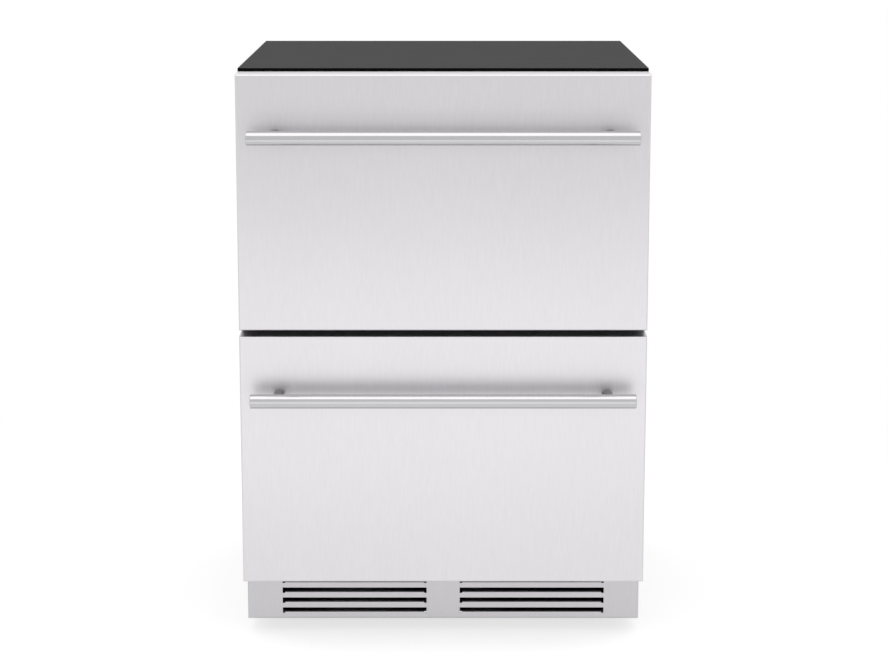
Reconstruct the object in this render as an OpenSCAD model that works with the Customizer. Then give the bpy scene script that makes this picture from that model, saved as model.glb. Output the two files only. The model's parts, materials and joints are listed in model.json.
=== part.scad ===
// Undercounter refrigerator with two full-extension drawers.
// The front faces -Y and +Z is up. The origin is on the floor, at the middle of
// the whole object with its handles. Lengths are in millimetres.

/* [Cabinet] */
// Height of the top panel above the floor
total_h = 866; // [860:1:900]
// Width of the cabinet
cabinet_w = 597; // [590:1:620]
// Depth of the cabinet from its front frame to its back panel
cabinet_d = 540; // [530:1:580]
// Height of the kick plate's lower edge above the floor
floor_gap = 23; // [22:1:40]
// Height of the lower front's lower edge above the floor
front_rise = 108; // [104:1:120]
// Thickness of the steel sheet of the wrapper, top, back and base
sheet_t = 1.2; // [0.8:0.1:1.6]
// Thickness of the front frame's plate
frame_t = 1.5; // [1:0.1:2]
// Thickness of the side walls, from the outside to the liner's inner face
side_wall_t = 41; // [36:1:50]
// Thickness of the rear wall, from the outside to the liner's inner face
rear_wall_t = 50; // [40:1:60]
// Thickness of the plastic liner
liner_t = 2; // [1.5:0.1:3]
// Overlap of the liner's flange behind the front frame
liner_flange = 10; // [6:1:14]

/* [Windows of the front frame] */
// Width of the front frame beside the windows
frame_side = 27; // [25:1:32]
// Distance of the windows inside the fronts' outer upper and lower edges
window_inset = 27; // [24:1:32]
// Height of the mullion between the windows
mullion_h = 40; // [34:1:46]
// Depth of the insulated bar behind the mullion's face
mullion_d = 45; // [30:1:60]

/* [Machine compartment] */
// Depth of the compartment at the lower rear
machine_d = 198; // [190:1:210]
// Height of the compartment's ceiling above the floor
machine_top = 255; // [250:1:260]
// Thickness of the insulation between compartment and liner
step_wall_t = 35; // [30:1:40]
// Height of the insulated bottom above the air channel
bottom_wall_t = 27; // [24:1:27]

/* [Drawer fronts] */
// Distance of the fronts' sides inside the cabinet's sides
front_inset = 1; // [0.5:0.5:4]
// Thickness of each drawer front
front_t = 52; // [45:1:60]
// Gap between the two fronts
front_gap = 9; // [5:1:12]
// Drop of the upper front's top edge below the top panel
front_drop = 4; // [2:1:6]
// Thickness of the stainless skin
skin_t = 1; // [0.8:0.1:1.2]
// Outer bend radius of the skin's four front edges
skin_bend_r = 2.4; // [2:0.1:4]
// Width of the skin's lip that is folded in behind
skin_lip = 10; // [8:1:12]
// Thickness of the plastic inner panel
panel_t = 2; // [1.5:0.1:3]
// Depth of the inner panel's raised field
panel_raise = 19.5; // [16:0.5:22]
// Gap between the raised field and the window's edge
panel_margin = 17; // [14:1:24]
// Distance that the gasket bridges between front and cabinet
gasket_t = 8; // [6:1:10]
// Width of the gasket
gasket_w = 13; // [10:1:14]
// Width of the gasket's neck
gasket_neck_w = 7; // [5:1:8]
// Thickness of the gasket's foot
gasket_foot_t = 2; // [1.5:0.1:2.5]
// Thickness of the gasket's magnet head
gasket_head_t = 3; // [2:0.1:3.5]

/* [Handles] */
// Diameter of the round handle bar
bar_d = 20.6; // [16:0.2:24]
// Distance of the bar's ends inside the front's sides
bar_inset = 18.5; // [10:0.5:40]
// Chamfer of the bar's ends
bar_chamfer = 0.8; // [0.4:0.1:2]
// Distance of the bar's axis from the drawer front
bar_reach = 46; // [40:1:60]
// Distance of the bar's axis below the front's top edge
bar_drop = 86; // [70:1:110]
// Diameter of the two posts
post_d = 15; // [10:0.5:16]
// Distance of the two posts from the bar's ends
post_inset = 39; // [20:1:80]
// Diameter of the screw that holds a post
handle_screw_d = 6; // [5:1:8]

/* [Drawer bins] */
// Clearance between the bin and the drawer frame's side plates
bin_side_gap = 6.5; // [5:0.5:12]
// Wall thickness of the bin
bin_t = 2.5; // [2:0.1:3.5]
// Corner radius of the bin
bin_r = 18; // [8:1:30]
// Overhang of the bin's rim past the drawer frame's side plates
rim_over = 1.5; // [1:0.5:4]
// Thickness of the bin's rim
rim_t = 2; // [1.5:0.1:3]
// Clearance of a bin above the liner's floor and step and the mullion
bin_gap = 10; // [8:1:12]
// Clearance of the lower bin's low part in front of the liner's step
bin_step_gap = 11.5; // [8:0.5:20]
// Clearance between the bin's rear wall and the evaporator cover
bin_rear_gap = 20.5; // [18:0.5:30]
// Distance of the bin's front wall behind the inner panel
bin_front_gap = 4; // [3:1:6]

/* [Drawer slides] */
// Distance of the rails' rear ends from the evaporator cover
rail_rear_gap = 8.2; // [4:0.1:20]
// Length by which the middle rails are shorter than the others
mid_rail_short = 20; // [10:1:40]
// Thickness of one drawer slide, wall to drawer
slide_t = 13; // [12.7:0.1:14]
// Depth of the slide's axis below the window's upper edge
rail_drop = 75; // [66:1:90]
// Thickness of the rolled rail profiles
rail_t = 1.5; // [1.2:0.1:1.6]
// Height of the fixed rail's profile
fixed_rail_h = 45; // [44:0.5:46]
// Height of the middle rail's profile
mid_rail_h = 33; // [32.5:0.5:34]
// Height of the inner rail's profile
inner_rail_h = 20; // [19:0.5:21]
// Running clearance on each side of a ball
ball_gap = 0.15; // [0.1:0.01:0.2]
// Balls in each row
ball_count = 6; // [4:1:8]
// Thickness of the drawer frame's sheet
bracket_t = 2; // [1.5:0.1:2.5]
// Height of the drawer frame's side plates above the slide's axis
bracket_rise = 30; // [28:1:34]
// Height of the drawer frame's side plates below the slide's axis
bracket_fall = 26; // [20:1:30]
// Width of the tabs that bolt the drawer frame to the inner panel
bracket_tab_w = 28; // [20:1:34]

/* [Kick plate] */
// Distance of the kick plate's ends inside the cabinet's sides
kick_side = 0; // [0:0.5:5]
// Distance of the kick plate behind the drawer fronts
kick_inset = 82; // [64:1:90]
// Gap between the kick plate and the lower front's lower edge
kick_gap = 2; // [1:0.5:4]
// Thickness of the kick plate
kick_t = 1.2; // [1:0.1:1.5]
// Depth of the kick plate's folded edges
kick_fold = 14; // [10:1:20]
// Outer bend radius of the kick plate
kick_bend_r = 3; // [2:0.1:4]
// Slots above each other in one group
slot_rows = 4; // [3:1:4]
// Distance of the slots from the kick plate's ends
slot_margin = 53.3; // [45:0.1:80]
// Height of a slot
slot_h = 8.6; // [7:0.1:10]
// Distance between one slot and the next above it
slot_pitch = 15.85; // [15:0.05:16]
// Height of the lowest slot above the kick plate's lower edge
slot_rise = 9.2; // [8:0.1:12]
// Distance between the two groups of slots
slot_group_gap = 50.5; // [40:0.1:60]
// Depth of the flat slat that is bent in along the lower edge of each slot
slat_d = 4.5; // [2:0.1:8]
// Outer radius of a slat's bend, which rises into the slot
slat_bend_r = 2.3; // [1.8:0.1:3]
// Length by which a slat is shorter than its slot at each end
slat_relief = 3.7; // [1:0.1:5]

/* [Feet] */
// Diameter of a foot's pad
foot_d = 38; // [30:1:44]
// Thickness of a foot's pad
foot_pad_t = 9; // [6:1:12]
// Width across flats of a foot's nut
foot_nut_w = 17; // [14:1:19]
// Height of a foot's nut
foot_nut_t = 7; // [5:1:8]
// Diameter of a foot's stem
foot_stem_d = 10; // [8:1:12]
// Radial clearance of a stem in its bush
foot_gap = 0.3; // [0.2:0.05:0.5]
// Distance of the front feet behind the kick plate
foot_front_inset = 106; // [90:1:140]
// Distance of the rear feet from the back
foot_rear_inset = 42; // [30:1:60]
// Distance of the feet from the cabinet's side
foot_side_inset = 36; // [24:1:66]

/* [Fans] */
// Diameter of the condenser fan
condenser_fan_d = 150; // [130:1:160]
// Diameter of the evaporator fan
evaporator_fan_d = 110; // [100:1:120]
// Gap between a fan's blades and its ring
fan_tip_gap = 3; // [2:0.5:5]
// Pitch of the blades
blade_angle = 32; // [20:1:40]
// Thickness of a blade
blade_t = 1.6; // [1.2:0.1:2]

/* [Hidden] */
$fn = 72;

// Small gap between pieces that sit beside each other without pressing
seat_gap = 0.3;
// Depth by which a cutter runs past a face
cut = 1;

// Depths, from the front to the back
reach = bar_reach + bar_d / 2;
face_y = -(front_t + gasket_t + cabinet_d - reach) / 2;
panel_y = face_y + front_t;
frame_y = panel_y + gasket_t;
back_y = frame_y + cabinet_d;
bar_y = face_y - bar_reach;
kick_y = face_y + kick_inset;
flange_y = frame_y + frame_t;
liner_back_y = back_y - rear_wall_t;
machine_y = back_y - machine_d;
liner_step_y = machine_y - step_wall_t;

// Heights: the two equal fronts share what the kick plate's zone and the top leave
front_h = (total_h - front_drop - front_gap - front_rise) / 2;
window_h = front_h + front_gap / 2 - mullion_h / 2 - window_inset;
lower_front_z = front_rise;
upper_front_z = lower_front_z + front_h + front_gap;
mullion_z = upper_front_z - front_gap / 2;
upper_window_z = mullion_z + mullion_h / 2;
lower_window_z = lower_front_z + window_inset;
shell_floor_z = lower_window_z - bottom_wall_t;
liner_step_z = machine_top + step_wall_t;
base_z = floor_gap + 2;
kick_h = lower_front_z - kick_gap - floor_gap;

// Widths
half_w = cabinet_w / 2;
inside_w = cabinet_w - 2 * side_wall_t;
window_w = cabinet_w - 2 * frame_side;
front_w = cabinet_w - 2 * front_inset;
kick_w = cabinet_w - 2 * kick_side;
slot_l = (kick_w - slot_group_gap) / 2 - slot_margin;
bar_l = front_w - 2 * bar_inset;
post_pitch = bar_l - 2 * post_inset;
slide_x = inside_w / 2 - slide_t;
bin_w = 2 * (slide_x - bracket_t - bin_side_gap);
rim_w = bin_side_gap + bracket_t + rim_over;

// Rear cover, set in from the back so that its screws stay inside
cover_recess = 4;
rear_y = back_y - cover_recess;
rear_seat_y = rear_y - sheet_t;

// Machine compartment: a wall with the fan parts the condenser from the compressor
machine_mid_y = machine_y + machine_d / 2;
machine_floor_z = base_z + sheet_t;
shroud_x = -20;
shroud_flange = 16;
fan_axis_z = 138;
fan_depth = 24;
fan_hub_d = 44;
fan_blades = 5;
fan_hub_t = 22;
fan_edge = 1.5;
ring_t = 2;
arm_w = 12;
arm_t = 3;
motor_d = 58;
motor_l = 27;
shaft_d = 6;
shaft_out = 12;
shaft_gap = 0.08;
compressor_x = 150;
compressor_r = 80;
compressor_h = 160;
compressor_corner_r = 34;
compressor_wall = 3;
pump_d = 104;
pump_h = 96;
pump_rise = 26;
pump_base_d = 60;
pump_head = [60, 42, 34];
grommet_h = 14;
compressor_z = machine_floor_z + grommet_h;
plate_t = 3;
plate_w = 140;
plate_d = 160;
weld_z = 76;
weld_h = 6;
weld_out = 3;
terminal_w = 46;
terminal_h = 52;
terminal_z = 60;
terminal_out = 22;
grommet_d = 26;
grommet_neck_d = 14;
grommet_cap_t = 3;
grommet_x = 55;
grommet_y = 64;
grommet_places = [for (x = [-grommet_x, grommet_x], y = [-grommet_y, grommet_y]) [x, y, 0]];
stub_x = 15;
compressor_top_z = compressor_z + compressor_h;
coil_d = 8;
coil_pitch = 26;
coil_edge = 17;
fin_t = 0.8;
end_plate_t = 1.5;
coil_out = 1;
condenser_l = 150;
condenser_t = 50;
condenser_h = 190;
condenser_rows = 7;
condenser_x = shroud_x - 30 - condenser_t / 2;
condenser_z = machine_floor_z + 4;
condenser_fin_pitch = 10;
line_out = 13;
liquid_x = shroud_x - 24;
liquid_turn_drop = 40;
line_d = 6.4;
line_bend = 10;
line_gap = 0.3;
discharge_z = 232;
liquid_z = 244;

// Defrost water drain
drain_x = 38;
drain_y = liner_back_y - 10;
drain_tube_d = 12;
drain_bore_d = 8;
drain_rise = 6;
drain_collar_d = 20;
drain_collar_t = 1.5;
drain_pan_x = 17;
drain_pan_w = 64;
drain_pan_l = 150;
drain_pan_h = 24;
drain_pan_t = 2;
drain_pan_r = 8;

// Cold air unit behind the evaporator cover
cover_t = 2.5;
cover_depth = 68;
cover_y = liner_back_y - cover_depth;
cover_low_z = liner_step_z + 4;
cover_high_z = upper_window_z + window_h - 12;
evaporator_inset = 67.5;
evaporator_l = inside_w - 2 * evaporator_inset;
evaporator_t = 42;
evaporator_h = 150;
evaporator_rows = 5;
evaporator_drop = 43;
evaporator_z = cover_high_z - evaporator_drop - evaporator_h;
liquid_turn_z = evaporator_z - liquid_turn_drop;
evaporator_mid_y = liner_back_y - seat_gap - evaporator_t / 2;
evaporator_fin_pitch = 12;
suction_out = 26;
suction_x = evaporator_l / 2 + coil_out + suction_out;
evaporator_fan_drop = 160;
evaporator_fan_z = evaporator_z - evaporator_fan_drop;
grille_rings = 5;
grille_bar = 5;
grille_slot = 6;
cover_slots = 6;
cover_slot_l = 50;
cover_slot_h = 6;
cover_slot_pitch = 70;
cover_slot_drop = 30;
control_inset = 22;
control_w = 150;
control_d = 46;
control_front_h = 8;
control_h = 14;
control_window_w = 50;
control_window_d = 18;
control_recess = 1;
control_pad_d = 10;
control_pad_pitch = 20;
light_inset = 96;
light_l = 280;
light_w = 16;
light_h = 7;
light_r = 3;
sensor_d = 9;
sensor_l = 36;
sensor_out = 2;
sensor_inset = 158;
sensor_y = liner_back_y - sensor_inset;
sensor_rise = 115;
sensor_z = upper_window_z + sensor_rise;

// Rear cover's vents and screws, and the cord gland
vent_rows = 7;
vent_cols = 5;
vent_l = 60;
vent_h = 6;
vent_pitch_x = 84;
vent_pitch_z = 18;
vent_low_z = 92;
screw_inset = 16;
screw_edge = 12;
screw_d = 4;
screw_gap = 0.4;
screw_l = 8;
screw_head_d = 9;
screw_head_t = 2.4;
rear_screw_places = [
  for (s = [-1, 0, 1], z = [base_z + screw_edge, machine_top - screw_edge]) [s * (half_w - screw_inset), z]
];
gland_inset = 58.5;
gland_x = half_w - gland_inset;
gland_z = 68;
gland_d = 18;
gland_bore_d = 8;
gland_flange_d = 26;
gland_flange_t = 3;
gland_nut_t = 5;
gland_l = 12;

// Small sizes of the cabinet's sheet parts
rib_x = 150;
rib_w = 16;
rib_d = 3;
rib_end = 40;
base_rim_h = 24;
mullion_inset = 2;
foot_boss_h = 14;
foot_boss_d = 22;
foot_stem_out = 6;
foot_chamfer = 1;
foot_x = half_w - foot_side_inset;
foot_front_y = kick_y + foot_front_inset;
foot_rear_y = back_y - foot_rear_inset;
foot_places = [
  [-foot_x, foot_front_y], [foot_x, foot_front_y], [-foot_x, foot_rear_y], [foot_x, foot_rear_y]
];

// Drawer fronts, frames and slides
field_x = window_w / 2 - panel_margin;
field_y = panel_y + panel_raise;
handle_head_d = 12;
handle_head_t = 4;
handle_screw_depth = 4;
bin_y = field_y + bin_front_gap;
bin_d = cover_y - bin_rear_gap - bin_y;
low_bin_d = liner_step_y - bin_step_gap - bin_y;
frame_overhang = 6;
frame_back_y = bin_y + bin_d + frame_overhang;
rail_rise = window_h - rail_drop;
bin_h = rail_rise + bracket_rise - bin_gap;
upper_rail_z = upper_window_z + rail_rise;
lower_rail_z = lower_window_z + rail_rise;
rail_y = field_y + bracket_t + seat_gap;
rail_l = cover_y - rail_rear_gap - rail_y;
mid_rail_l = rail_l - mid_rail_short;
mid_rail_inset = 2;
fixed_open = 3;
mid_open = 1;
mid_web = 6;
inner_open = 5;
outer_ball_x = 5.5;
inner_ball_x = 3;
ball_start = 12;
ball_end = 28;
ball_mid_y = rail_y + mid_rail_inset + mid_rail_l / 2;
ball_pitch = (mid_rail_l / 2 - ball_start - ball_end) / (ball_count - 1);

// ---------------------------------------------------------------- helpers

// Box between two corners
module box(low, high) {
  translate(low) cube(high - low);
}

// Mirrored copies on the left and on the right of what is drawn on the right
module both_sides() {
  children();
  mirror([1, 0, 0]) children();
}

// Outline in the Y-Z plane extruded along X, centred on x = 0
module along_x(length) {
  rotate([90, 0, 90]) translate([0, 0, -length / 2]) linear_extrude(length) children();
}

// Cylinder along Y that starts at y and runs to the back
module rod_y(x, y, z, l, d) {
  translate([x, y, z]) rotate([-90, 0, 0]) cylinder(h = l, d = d);
}

// Rectangle with round corners, centred
module round_rect(w, h, r) {
  square([w - 2 * r, h], center = true);
  square([w, h - 2 * r], center = true);
  for (sx = [-1, 1], sy = [-1, 1])
    translate([sx * (w / 2 - r), sy * (h / 2 - r)]) circle(r);
}

// Upright block with round corners, between two corners
module round_box(low, high, r) {
  size = high - low;
  translate([low[0] + size[0] / 2, low[1] + size[1] / 2, low[2]])
    linear_extrude(size[2]) round_rect(size[0], size[1], r);
}

// Rectangle whose two corners at y = 0 are round
module front_rounded(w, d, r) {
  translate([-w / 2, r]) square([w, d - r]);
  translate([-w / 2 + r, 0]) square([w - 2 * r, d]);
  for (s = [-1, 1]) translate([s * (w / 2 - r), r]) circle(r);
}

// Block with its front face at y = 0 and its four front edges bent round
module bent_block(w, d, h, r) {
  intersection() {
    linear_extrude(h) front_rounded(w, d, r);
    translate([0, 0, h / 2]) along_x(w) mirror([1, -1]) front_rounded(h, d, r);
  }
}

// Flat rectangular ring in the X-Z plane
module ring_xz(w, z_low, z_high, band, y, t) {
  difference() {
    box([-w / 2, y, z_low], [w / 2, y + t, z_high]);
    box([-w / 2 + band, y - cut, z_low + band], [w / 2 - band, y + t + cut, z_high - band]);
  }
}

// Side outline of the cold space: a tall box with a step at its lower rear
function stepped(front, step, back, low, step_z, top) = [
  [front, low], [step, low], [step, step_z], [back, step_z], [back, top], [front, top]
];

// Side outline of the liner's cold face, grown by g into the insulation
function liner_outline(g, front) = stepped(front, liner_step_y + g, liner_back_y + g,
  lower_window_z - g, liner_step_z - g, upper_window_z + window_h + g);

// Straight tube from a to b
module tube_run(a, b, r) {
  l = norm(b - a);
  u = (b - a) / l;
  v = abs(u[2]) > 0.5 ? [1, 0, 0] : [0, 0, 1];
  w = cross(u, v);
  multmatrix([[v[0], w[0], u[0], a[0]], [v[1], w[1], u[1], a[1]], [v[2], w[2], u[2], a[2]]])
    cylinder(h = l, r = r);
}

// Quarter bend at corner p, arriving along u and leaving along v
module tube_bend(p, u, v, bend, r) {
  w = cross(u, v);
  c = p - u * bend + v * bend;
  multmatrix([[-v[0], u[0], w[0], c[0]], [-v[1], u[1], w[1], c[1]], [-v[2], u[2], w[2], c[2]]])
    rotate_extrude(angle = 90) translate([bend, 0]) circle(r);
}

// Unit vector from a to b
function direction(a, b) = (b - a) / norm(b - a);

// Round tube along square corners, each bent to the same radius
module tube_path(points, bend, r) {
  last = len(points) - 1;
  for (i = [0 : last - 1]) {
    u = direction(points[i], points[i + 1]);
    tube_run(points[i] + u * (i > 0 ? bend : 0), points[i + 1] - u * (i < last - 1 ? bend : 0), r);
  }
  for (i = [1 : last - 1])
    tube_bend(points[i], direction(points[i - 1], points[i]), direction(points[i], points[i + 1]), bend, r);
}

// ---------------------------------------------------------------- cabinet

// Side panels with the stepped floor that closes the insulated box from below
module cabinet_shell() {
  side_front = kick_y + kick_fold + seat_gap;
  side_back = back_y - sheet_t;
  side_top = total_h - sheet_t;
  lip_h = 20;
  side_outline = [
    [side_front, base_z], [side_back, base_z], [side_back, side_top],
    [flange_y, side_top], [flange_y, lower_front_z], [side_front, lower_front_z]
  ];
  floor_outline = [
    [flange_y, shell_floor_z], [machine_y, shell_floor_z],
    [machine_y, machine_top - sheet_t], [rear_seat_y - sheet_t, machine_top - sheet_t],
    [rear_seat_y - sheet_t, machine_top - lip_h], [rear_seat_y, machine_top - lip_h],
    [rear_seat_y, machine_top], [machine_y - sheet_t, machine_top],
    [machine_y - sheet_t, shell_floor_z + sheet_t], [flange_y, shell_floor_z + sheet_t]
  ];
  color("#141414") difference() {
    union() {
      both_sides() translate([half_w - sheet_t / 2, 0, 0]) along_x(sheet_t) polygon(side_outline);
      along_x(cabinet_w - sheet_t) polygon(floor_outline);
    }
    drain_hole();
    line_holes();
    rear_screw_holes();
  }
}

module top_panel() {
  color("#555555") box([-half_w, flange_y, total_h - sheet_t], [half_w, back_y, total_h]);
}

// Upper back sheet with two ribs pressed inwards
module back_panel() {
  low = machine_top;
  high = total_h - sheet_t;
  color("#8f9294") difference() {
    union() {
      box([-half_w, back_y - sheet_t, low], [half_w, back_y, high]);
      both_sides() back_rib(0, low, high);
    }
    both_sides() back_rib(sheet_t, low, high);
  }
}

// One rib of the back panel, or for g > 0 the groove behind it
module back_rib(g, low, high) {
  box([rib_x + g, back_y - sheet_t - rib_d + g, low + rib_end + g],
      [rib_x + rib_w - g, back_y + (g > 0 ? cut : 0), high - rib_end - g]);
}

// Base tray with bushes for the feet and the wall that parts the two air streams
module base_pan() {
  inner_x = half_w - sheet_t;
  tab_x = kick_w / 2 - kick_t;
  front = kick_y + kick_t + 2 * kick_fold;
  color("#1b1b1c") difference() {
    union() {
      box([-inner_x, front, base_z], [inner_x, rear_seat_y, machine_floor_z]);
      both_sides() box([inner_x - sheet_t, front, base_z], [inner_x, rear_seat_y, base_z + base_rim_h]);
      both_sides() box([tab_x - sheet_t, kick_y + kick_fold / 2, base_z],
                       [tab_x, front + kick_fold, base_z + base_rim_h]);
      box([-inner_x, rear_seat_y - sheet_t, base_z], [inner_x, rear_seat_y, base_z + base_rim_h]);
      box([shroud_x, kick_y + kick_fold + kick_t, base_z], [shroud_x + sheet_t, machine_y, shell_floor_z]);
      for (p = foot_places) translate([p[0], p[1], base_z]) cylinder(h = foot_boss_h, d = foot_boss_d);
    }
    for (p = foot_places)
      translate([p[0], p[1], base_z - cut])
        cylinder(h = foot_boss_h + 2 * cut, d = foot_stem_d + 2 * foot_gap);
    rear_screw_holes();
  }
}

// Polyurethane between the steel wrapper and the liner
module insulation_foam() {
  front = flange_y + liner_t;
  outline = stepped(front, machine_y - sheet_t, back_y - sheet_t - rib_d,
    shell_floor_z + sheet_t, machine_top, total_h - sheet_t);
  color("#e3d6a8") difference() {
    along_x(cabinet_w - 2 * sheet_t) polygon(outline);
    along_x(inside_w + 2 * liner_t) polygon(liner_outline(liner_t, front - cut));
    drain_hole();
    line_holes();
  }
}

// Plastic tub that lines the cold space, with its flange under the front frame
module inner_liner() {
  color("#e9eaea") difference() {
    union() {
      along_x(inside_w + 2 * liner_t) polygon(liner_outline(liner_t, flange_y));
      box([-window_w / 2 - liner_flange, flange_y, lower_window_z - liner_flange],
          [window_w / 2 + liner_flange, flange_y + liner_t, upper_window_z + window_h + liner_flange]);
    }
    along_x(inside_w) polygon(liner_outline(0, flange_y - cut));
    drain_hole();
    line_holes();
  }
}

// Black face that the gaskets close against
module front_frame() {
  color("#0b0b0b") difference() {
    box([-half_w, frame_y, lower_front_z], [half_w, flange_y, total_h]);
    box([-window_w / 2, frame_y - cut, lower_window_z],
        [window_w / 2, flange_y + cut, upper_window_z + window_h]);
  }
}

// Insulated bar between the two windows
module mullion() {
  low = mullion_z - mullion_h / 2;
  high = mullion_z + mullion_h / 2;
  color("#2d2d2e") {
    box([-window_w / 2, frame_y, low], [window_w / 2, flange_y, high]);
    box([-inside_w / 2, frame_y + frame_t / 2, low + mullion_inset],
        [inside_w / 2, frame_y + mullion_d, high - mullion_inset]);
  }
}

// ------------------------------------------------------------- kick plate

// Left end of each row of slots, from the middle of the kick plate
function slot_left(s) = s * (slot_group_gap + slot_l) / 2 - slot_l / 2;

// Section of a slat: a quarter bend out of the plate's face, then a flat that runs inwards
module slat_section() {
  intersection() {
    translate([slat_bend_r, 0]) difference() {
      circle(slat_bend_r);
      circle(slat_bend_r - kick_t);
    }
    square(slat_bend_r);
  }
  translate([0, -kick_t]) square(kick_t);
  translate([slat_bend_r, slat_bend_r - kick_t]) square([slat_d, kick_t]);
}

// Stainless plate with its four edges folded back, and with two groups of slots,
// each slot with a slat that is bent in along its lower edge
module kick_plate() {
  color("#d8d6da") translate([0, kick_y, floor_gap]) {
    difference() {
      bent_block(kick_w, kick_fold, kick_h, kick_bend_r);
      translate([0, kick_t, kick_t])
        bent_block(kick_w - 2 * kick_t, kick_fold, kick_h - 2 * kick_t, kick_bend_r - kick_t);
      for (row = [0 : slot_rows - 1], s = [-1, 1])
        translate([slot_left(s), -cut, slot_rise + row * slot_pitch])
          cube([slot_l, kick_t + 2 * cut, slot_h]);
    }
    for (row = [0 : slot_rows - 1], s = [-1, 1])
      translate([slot_left(s) + slot_l / 2, 0, slot_rise + row * slot_pitch])
        along_x(slot_l - 2 * slat_relief) slat_section();
  }
}

// ------------------------------------------------------------- rear cover

// Clearance holes of the rear cover's screws in what they hold together
module rear_screw_holes() {
  for (p = rear_screw_places)
    rod_y(p[0], rear_seat_y - sheet_t - cut, p[1], 2 * (sheet_t + cut), screw_d + screw_gap);
}

// Vented sheet that closes the machine compartment
module rear_cover() {
  side_x = half_w - sheet_t - seat_gap;
  color("#77797b") difference() {
    box([-side_x, rear_seat_y, base_z], [side_x, rear_y, machine_top - seat_gap]);
    for (i = [0 : vent_cols - 1], k = [0 : vent_rows - 1])
      translate([(i - (vent_cols - 1) / 2) * vent_pitch_x, rear_y, vent_low_z + k * vent_pitch_z])
        rotate([90, 0, 0]) linear_extrude(2 * (sheet_t + cut), center = true)
          round_rect(vent_l, vent_h, vent_h / 2 - 0.01);
    rod_y(gland_x, rear_seat_y - cut, gland_z, sheet_t + 2 * cut, gland_d + 2 * seat_gap);
    rear_screw_holes();
  }
}

// Screws of the rear cover, their heads inside the recess
module rear_cover_screws() {
  color("#9b9da0") for (p = rear_screw_places) {
    rod_y(p[0], rear_y, p[1], screw_head_t, screw_head_d);
    rod_y(p[0], rear_y - screw_l, p[1], screw_l + screw_head_t / 2, screw_d);
  }
}

// Empty cord gland with its nut
module cord_gland() {
  color("#202020") difference() {
    union() {
      rod_y(gland_x, rear_y, gland_z, gland_flange_t, gland_flange_d);
      rod_y(gland_x, rear_y - gland_l, gland_z, gland_l + cut, gland_d);
      rod_y(gland_x, rear_seat_y - gland_nut_t, gland_z, gland_nut_t, gland_flange_d);
    }
    rod_y(gland_x, rear_y - gland_l - cut, gland_z, gland_l + gland_flange_t + 2 * cut, gland_bore_d);
  }
}

// ------------------------------------------------------ machine compartment

// Solid of the compressor's can, inset by g
module compressor_can(g) {
  h = compressor_h - 2 * g;
  translate([0, 0, g]) rotate_extrude() intersection() {
    translate([0, h / 2]) round_rect(2 * (compressor_r - g), h, compressor_corner_r - g);
    square([2 * compressor_r, h]);
  }
}

// Welded steel can of the compressor with its foot plate and terminal box
module compressor() {
  color("#101011") translate([compressor_x, machine_mid_y, compressor_z]) difference() {
    union() {
      compressor_can(0);
      translate([0, 0, weld_z]) cylinder(h = weld_h, r = compressor_r + weld_out);
      box([-plate_w / 2, -plate_d / 2, 0], [plate_w / 2, plate_d / 2, plate_t]);
      box([compressor_r - terminal_w / 2, -terminal_w / 2, terminal_z],
          [compressor_r + terminal_out, terminal_w / 2, terminal_z + terminal_h]);
    }
    for (p = grommet_places)
      translate([p[0], p[1], -cut]) cylinder(h = plate_t + 2 * cut, d = grommet_neck_d);
    compressor_can(compressor_wall);
  }
}

// Motor with the pump's cylinder head on top, on a round base inside the can
module compressor_pump() {
  color("#6c6e70") translate([compressor_x, machine_mid_y, compressor_z + compressor_wall]) {
    cylinder(h = pump_rise + pump_h / 2, d = pump_base_d);
    translate([0, 0, pump_rise]) cylinder(h = pump_h - pump_head[2] / 2, d = pump_d);
    translate([-pump_head[0] / 2, -pump_head[1] / 2, pump_rise + pump_h - pump_head[2]]) cube(pump_head);
  }
}

// Four rubber mounts under and through the compressor's foot plate
module compressor_grommets() {
  color("#242424") translate([compressor_x, machine_mid_y, machine_floor_z]) for (p = grommet_places)
    translate(p) {
      cylinder(h = grommet_h, d = grommet_d);
      cylinder(h = grommet_h + plate_t + grommet_cap_t, d = grommet_neck_d - 2 * seat_gap);
      translate([0, 0, grommet_h + plate_t]) cylinder(h = grommet_cap_t, d = grommet_d);
    }
}

// Serpentine tube along X with upright fins; its open ends are low left and high right.
// The two end plates are thicker than the fins and stand on legs.
module finned_coil(l, depth, h, rows, fin_pitch, leg) {
  count = floor((l - 2 * end_plate_t) / fin_pitch);
  for (i = [0 : count])
    translate([(i - count / 2) * fin_pitch, 0, 0])
      box([-fin_t / 2, -depth / 2, 0], [fin_t / 2, depth / 2, h]);
  both_sides() box([l / 2 - end_plate_t, -depth / 2, -leg], [l / 2, depth / 2, h]);
  for (row = [0 : rows - 1])
    translate([-l / 2 - coil_out, 0, coil_edge + row * coil_pitch])
      rotate([0, 90, 0]) cylinder(h = l + 2 * coil_out, d = coil_d);
  for (row = [0 : rows - 2]) {
    end = row % 2 == 0 ? 1 : -1;
    translate([end * (l / 2 + coil_out), 0, coil_edge + (row + 0.5) * coil_pitch])
      rotate([90, end * 90, 0])
        rotate_extrude(angle = 180) translate([coil_pitch / 2, 0]) circle(d = coil_d);
  }
}

module condenser() {
  color("#8a8d90") translate([condenser_x, machine_mid_y, condenser_z]) rotate([0, 0, 90])
    finned_coil(condenser_l, condenser_t, condenser_h, condenser_rows, condenser_fin_pitch,
                condenser_z - machine_floor_z);
}

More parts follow.
